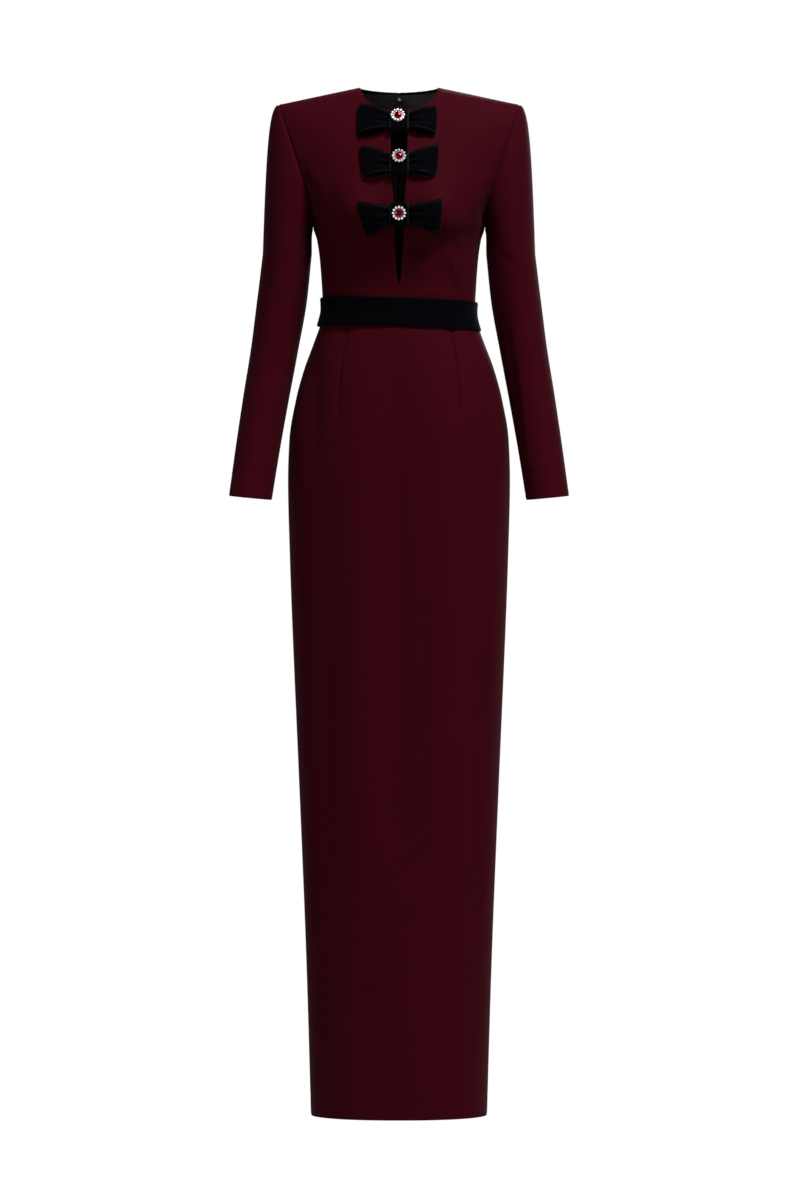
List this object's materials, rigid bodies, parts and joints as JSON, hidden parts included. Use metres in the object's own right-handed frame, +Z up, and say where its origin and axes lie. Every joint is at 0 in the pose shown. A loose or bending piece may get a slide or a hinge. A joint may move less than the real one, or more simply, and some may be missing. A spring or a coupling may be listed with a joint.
{
  "type": "column gown",
  "caption": "Long column gown with padded shoulders, long sleeves, a front slit crossed by velvet bows with jewelled brooches, and a velvet belt.",
  "frame": {"origin": "the middle between the shoulders, halfway down the shoulder seams, where the wearer carries the gown", "axes": "+Z up along the body, -Y the front, +X to the right seen from the front"},
  "size_m": [0.5082, 0.2496, 1.5397],
  "materials": {
    "crepe": "matte burgundy crepe",
    "lining": "matte black lining",
    "velvet": "black velvet with a faint cool sheen",
    "silver": "satin silver-coloured setting",
    "red_stone": "polished dark red",
    "crystal": "clear with a pale pink cast",
    "satin": "black satin",
    "dark_metal": "burgundy lacquer"
  },
  "bodies": {
    "root": {"bodice_front_left": "crepe", "bodice_front_right": "crepe", "bodice_back_left": "crepe", "bodice_back_right": "crepe", "lining_back_left": "lining", "lining_back_right": "lining", "sleeve_left": "crepe", "sleeve_right": "crepe", "skirt_front": "crepe", "skirt_back_left": "crepe", "skirt_back_right": "crepe", "belt": "velvet", "bow_1_left_loop": "velvet", "bow_1_right_loop": "velvet", "bow_1_knot": "velvet", "bow_2_left_loop": "velvet", "bow_2_right_loop": "velvet", "bow_2_knot": "velvet", "bow_3_left_loop": "velvet", "bow_3_right_loop": "velvet", "bow_3_knot": "velvet", "brooch_1_setting": "silver", "brooch_2_setting": "silver", "brooch_3_setting": "silver", "brooch_1_stone": "red_stone", "brooch_2_stone": "red_stone", "brooch_3_stone": "red_stone", "brooch_1_crystals": "crystal", "brooch_2_crystals": "crystal", "brooch_3_crystals": "crystal", "neck_button": "satin", "button_loop": "satin", "zip_pull": "dark_metal"}
  },
  "joints": []
}
